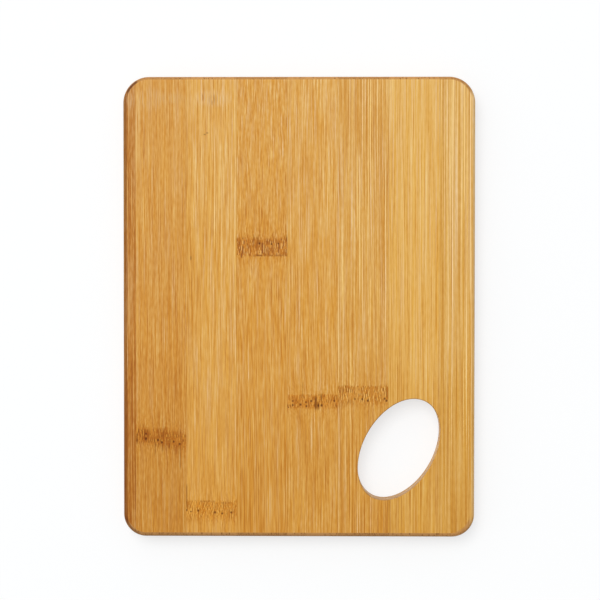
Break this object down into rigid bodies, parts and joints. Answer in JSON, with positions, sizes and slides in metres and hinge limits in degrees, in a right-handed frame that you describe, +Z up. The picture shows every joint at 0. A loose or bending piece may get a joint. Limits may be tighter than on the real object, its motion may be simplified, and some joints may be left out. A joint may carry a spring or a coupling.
{
  "type": "bamboo cutting board",
  "caption": "Flat rectangular cutting board glued up from bamboo strips in crossed plies, with rounded corners and edges and a slanted oval finger hole near one corner.",
  "frame": {"origin": "centre of the underside, on the surface that the board lies on", "axes": "+X across the strips of the work face, +Y along them away from the user, +Z up out of the work face; the finger hole is near the +X, -Y corner"},
  "size_m": [0.139, 0.182, 0.01],
  "materials": {
    "bamboo_pale": "satin oiled",
    "bamboo_honey": "satin oiled",
    "bamboo_brown": "satin oiled",
    "bamboo_core": "sanded edge",
    "bamboo_back": "satin oiled"
  },
  "bodies": {
    "root": {"back_strip_1": "bamboo_back", "back_strip_2": "bamboo_back", "back_strip_3": "bamboo_back", "back_strip_4": "bamboo_back", "back_strip_5": "bamboo_back", "back_strip_6": "bamboo_back", "back_strip_7": "bamboo_back", "back_strip_8": "bamboo_back", "core_strip_1": "bamboo_core", "core_strip_10": "bamboo_core", "core_strip_2": "bamboo_core", "core_strip_3_left": "bamboo_core", "core_strip_3_right": "bamboo_core", "core_strip_4": "bamboo_core", "core_strip_5": "bamboo_core", "core_strip_6": "bamboo_core", "core_strip_7": "bamboo_core", "core_strip_8": "bamboo_core", "core_strip_9": "bamboo_core", "face_strip_1": "bamboo_brown", "face_strip_2": "bamboo_honey", "face_strip_3": "bamboo_pale", "face_strip_4": "bamboo_honey", "face_strip_5": "bamboo_honey", "face_strip_6": "bamboo_honey", "face_strip_7_far": "bamboo_pale", "face_strip_7_near": "bamboo_pale", "face_strip_8": "bamboo_pale"}
  },
  "joints": []
}
